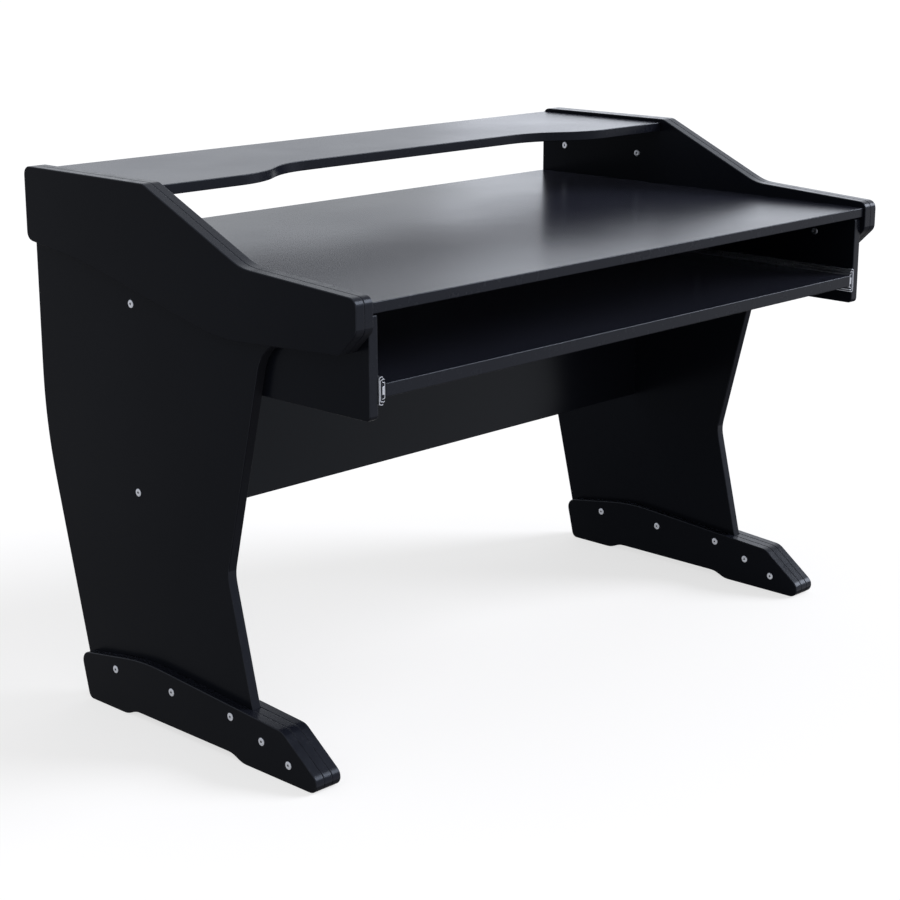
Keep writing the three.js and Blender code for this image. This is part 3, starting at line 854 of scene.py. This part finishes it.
bolt_head = head_source("bolt_head", hexagon, BOLT_SOCKET_DEPTH)
screw_head = head_source("screw_head", cross, SCREW_SOCKET_DEPTH)
print("a head has", len(bolt_head.data.polygons), "faces")

# %% [markdown]
# ## The tree that places bolts
# Each point is a seat on the face of a board. Its attribute says which way the head faces, and another
# says how long the shank is. The tree turns the head to that direction, spins it by a random angle with
# a fixed seed, as nobody lines up the sockets, and adds a shank of the right length behind it.

# %% The tree that places bolts
SHANK_SIDES = 20
RANDOM_MAX, RANDOM_VALUE = 3, 1  # the sockets of a random number that isn't a vector

bolt_group, entry, leave = start_group("bolts_on_points", (
    ("Head", "NodeSocketObject"), ("Head diameter", "NodeSocketFloat"),
    ("Shank diameter", "NodeSocketFloat"), ("Seed", "NodeSocketInt")))


def bolt_node(kind, settings=None, **inputs):
    return add_node(bolt_group, kind, settings, **inputs)


facing = bolt_node("GeometryNodeInputNamedAttribute", {"data_type": "FLOAT_VECTOR"}, Name="facing")
length = bolt_node("GeometryNodeInputNamedAttribute", {"data_type": "FLOAT"}, Name="length")
aim = bolt_node("FunctionNodeAlignRotationToVector", {"axis": "Z"}, Vector=facing.outputs["Attribute"])
chance = bolt_node("FunctionNodeRandomValue", {"data_type": "FLOAT"}, Seed=entry.outputs["Seed"])
chance.inputs[RANDOM_MAX].default_value = 2 * math.pi
angle = bolt_node("ShaderNodeCombineXYZ", Z=chance.outputs[RANDOM_VALUE])
spin = bolt_node("FunctionNodeEulerToRotation", Euler=angle.outputs["Vector"])
turned = bolt_node("FunctionNodeRotateRotation", {"rotation_space": "LOCAL"},
                   Rotation=aim.outputs["Rotation"], Rotate_By=spin.outputs["Rotation"])
head_size = bolt_node("ShaderNodeCombineXYZ", X=entry.outputs["Head diameter"],
                      Y=entry.outputs["Head diameter"], Z=entry.outputs["Head diameter"])
head = bolt_node("GeometryNodeObjectInfo", Object=entry.outputs["Head"])
heads = bolt_node("GeometryNodeInstanceOnPoints", Points=entry.outputs["Geometry"],
                  Instance=head.outputs["Geometry"], Rotation=turned.outputs["Rotation"],
                  Scale=head_size.outputs["Vector"])
shank_size = bolt_node("ShaderNodeCombineXYZ", X=entry.outputs["Shank diameter"],
                       Y=entry.outputs["Shank diameter"], Z=length.outputs["Attribute"])
rod = bolt_node("GeometryNodeMeshCylinder", Vertices=SHANK_SIDES, Radius=0.5, Depth=1.0)
hung = bolt_node("GeometryNodeTransform", Geometry=rod.outputs["Mesh"], Translation=(0, 0, -0.5))
shanks = bolt_node("GeometryNodeInstanceOnPoints", Points=entry.outputs["Geometry"],
                   Instance=hung.outputs["Geometry"], Rotation=aim.outputs["Rotation"],
                   Scale=shank_size.outputs["Vector"])
both = bolt_node("GeometryNodeJoinGeometry")
bolt_group.links.new(heads.outputs["Instances"], both.inputs["Geometry"])
bolt_group.links.new(shanks.outputs["Instances"], both.inputs["Geometry"])
# The socket faces take the painted shade.
finish_group(bolt_group, both.outputs["Geometry"], leave, ((zinc, ""), (socket_painted_shade, "socket")))
print("bolt tree of", len(bolt_group.nodes), "nodes")

# %% [markdown]
# ## The bolts of the desk
# Every visible bolt is taken from its CAD node: the box gives the place, and the head stands out of the
# board at one end or at both. A foot connector has a head on each side of the foot. The bolts of the
# modesty panel face outward, and those of the cheeks and of the tray's side panels face inward.

# %% The bolts of the desk
BOLT_KINDS = {  # how many on a side, and the ways that the heads face, where 1 is outward
    "foot_connector": (5, (-1, 1)),
    "modesty_bolt": (2, (1,)),
    "cheek_bolt": (2, (-1,)),
    "tray_side_bolt": (2, (-1,)),
}
BOLT_HEAD = 0.014
BOLT_HEAD_RISE = BOLT_HEAD * HEAD_PROFILE[-1][1]
BOLT_SHANK = 0.006
TURN_SEED = 7


def seats(node, outward, sign):
    """The seat under one head of a bolt, the way it faces, and the length of its shank."""
    low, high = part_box(node)
    facing = outward * sign
    face = high[0] if facing > 0 else low[0]
    place = (face - facing * BOLT_HEAD_RISE, (low[1] + high[1]) / 2, (low[2] + high[2]) / 2)
    return place, (facing, 0, 0), high[0] - low[0] - BOLT_HEAD_RISE


bolt_seats = []
bolt_nodes = []
for side, sign in SIDES.items():
    for kind, (count, directions) in BOLT_KINDS.items():
        for i in range(count):
            node = f"{side}_{kind}_{i + 1}"
            bolt_nodes.append(node)
            found = [seats(node, outward, sign) for outward in directions]
            bolt_seats += [(place, way, reach / len(found) - (len(found) - 1) * BOLT_HEAD_RISE / 2)
                           for place, way, reach in found]


def grow_bolts(name, all_seats, head, diameter, shank):
    ways = [number for _, way, _ in all_seats for number in way]
    lengths = [reach for _, _, reach in all_seats]
    return grow(name, [place for place, _, _ in all_seats],
                (("facing", "FLOAT_VECTOR", ways), ("length", "FLOAT", lengths)), bolt_group,
                {"Head": head, "Head diameter": diameter, "Shank diameter": shank, "Seed": TURN_SEED})


bolts = grow_bolts("desk_bolts", bolt_seats, bolt_head, BOLT_HEAD, BOLT_SHANK)
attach(bolts, "desk")
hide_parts(*bolt_nodes)
print(len(bolt_nodes), "bolts,", len(bolts.data.polygons), "faces")

# %% [markdown]
# ## The screws of the slides
# Three flat screws hold the outer channel to its side panel, and three more hold the inner channel to the
# tray. Their heads lie in the channel's holes, below its face, so that nothing catches when it runs.

# %% The screws of the slides
SLIDE_SCREW_HEAD = 0.0042
SLIDE_SCREW_SHANK = 0.003
SLIDE_SCREW_LENGTH = 0.009
SLIDE_SCREW_SINK = 0.0001
SCREW_STEP = 4
SCREW_HOLES = HOLES[::SCREW_STEP]

for member, inward in (("cabinet_member", True), ("drawer_member", False)):
    screw_seats = []
    for side, sign in SIDES.items():
        low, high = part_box(f"{side}_slide_{member}")
        way = -sign if inward else sign
        web_face = (high[0] if inward == (sign > 0) else low[0]) + way * STEEL
        seat = web_face - way * (SLIDE_SCREW_SINK + SLIDE_SCREW_HEAD * HEAD_PROFILE[-1][1])
        for place, _ in SCREW_HOLES:
            spot = (seat, low[1] + place, (low[2] + high[2]) / 2)
            screw_seats.append((spot, (way, 0, 0), SLIDE_SCREW_LENGTH))
    screws = grow_bolts(member + "_screws", screw_seats, screw_head, SLIDE_SCREW_HEAD, SLIDE_SCREW_SHANK)
    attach(screws, RAILS[member][0])
    print(screws.name, len(screw_seats))

# %% [markdown]
# ## Screws inside the boards
# The long screws that hold the tabletop and the shelf are sunk below the cheeks. Nobody sees them, and
# their CAD solids have the right shape already, so the solids stay and only get the zinc. The two heads
# that the bolts and screws were grown from have done their work, and are taken away.

# %% Screws inside the boards
HIDDEN_SCREWS = {"tabletop_screw": 3, "shelf_screw": 2}

for side in SIDES:
    for kind, count in HIDDEN_SCREWS.items():
        for i in range(count):
            nodes[f"{side}_{kind}_{i + 1}"].material_slots[0].material = zinc
for source in (bolt_head, screw_head):
    bpy.data.objects.remove(source)
print("hidden screws plated")

# %% [markdown]
# ## Floor
# The desk stands on a plain floor that runs far past the frame, so the picture has a white ground and no
# horizon. Its own colour is a matt grey, which takes the desk's soft shadow and throws only a little
# light back up at it. White is added where the camera or a reflection sees the floor, so that it reads as
# clean paper.

# %% Floor
WHITE = (1.0, 1.0, 1.0)
FLOOR_HALF = 80.0
FLOOR_GREY = (0.4, 0.385, 0.37)
FLOOR_GLOW = 0.67

floor_material, tree, skin = start_material("white_floor")
skin.inputs["Base Color"].default_value = (*FLOOR_GREY, 1.0)
skin.inputs["Roughness"].default_value = 1.0
skin.inputs["Specular IOR Level"].default_value = 0.0
skin.inputs["Emission Color"].default_value = (*WHITE, 1.0)


def seen_directly(tree):
    """One where the ray comes from the camera, a reflection or a clear body, and zero for other rays."""
    rays = add_node(tree, "ShaderNodeLightPath").outputs
    pair = add_node(tree, "ShaderNodeMath", {"operation": "MAXIMUM"})
    tree.links.new(rays["Is Camera Ray"], pair.inputs[0])
    tree.links.new(rays["Is Glossy Ray"], pair.inputs[1])
    seen = add_node(tree, "ShaderNodeMath", {"operation": "MAXIMUM"})
    tree.links.new(pair.outputs["Value"], seen.inputs[0])
    tree.links.new(rays["Is Transmission Ray"], seen.inputs[1])
    return seen.outputs["Value"]


glow = add_node(tree, "ShaderNodeMath", {"operation": "MULTIPLY"})
tree.links.new(seen_directly(tree), glow.inputs[0])
glow.inputs[1].default_value = FLOOR_GLOW
tree.links.new(glow.outputs["Value"], skin.inputs["Emission Strength"])

floor_corners = [(*corner, 0.0) for corner in rectangle(-FLOOR_HALF, FLOOR_HALF, -FLOOR_HALF, FLOOR_HALF)]
floor_data = bpy.data.meshes.new("floor")
floor_data.from_pydata(floor_corners, [], [list(range(len(floor_corners)))])
floor = show("floor", floor_data, (floor_material,))
print("floor", 2 * FLOOR_HALF, "m wide")

# %% [markdown]
# ## Light
# A large white studio lights the desk evenly from all round. A broad lamp at the right of the front makes
# the noses of the wings and feet stand out, and a wider one, low and a little behind the right end, makes
# the level boards shine towards that end. The world is white where the camera and reflections see it, and
# about half as strong where it lights, so that all together light a surface about as its colour is
# written.

# %% Light
WORLD_FILL = 0.55
STUDIO_WHITE = (0.91, 0.945, 1.0)
COOL_WHITE = (0.86, 0.9, 1.0)
LAMPS = {  # strength, width in degrees, and turn about each axis in degrees
    "front_lamp": (3.0, 30.0, (61.0, 0.0, 58.0)),
    "rear_lamp": (0.48, 52.0, (80.0, 0.0, 108.0)),
}

world = bpy.data.worlds.new("studio")
world.use_nodes = True
bpy.context.scene.world = world
sky = world.node_tree.nodes["Background"]
level = add_node(world.node_tree, "ShaderNodeMapRange", Value=seen_directly(world.node_tree))
level.inputs["To Min"].default_value = WORLD_FILL
world.node_tree.links.new(level.outputs["Result"], sky.inputs["Strength"])
sky.inputs["Color"].default_value = (*STUDIO_WHITE, 1.0)

for name, (strength, width, turns) in LAMPS.items():
    lamp_data = bpy.data.lights.new(name, "SUN")
    lamp_data.energy = strength
    lamp_data.color = COOL_WHITE
    lamp_data.angle = math.radians(width)
    lamp = bpy.data.objects.new(name, lamp_data)
    lamp.rotation_euler = [math.radians(turn) for turn in turns]
    bpy.context.scene.collection.objects.link(lamp)
    print(name, strength, turns)
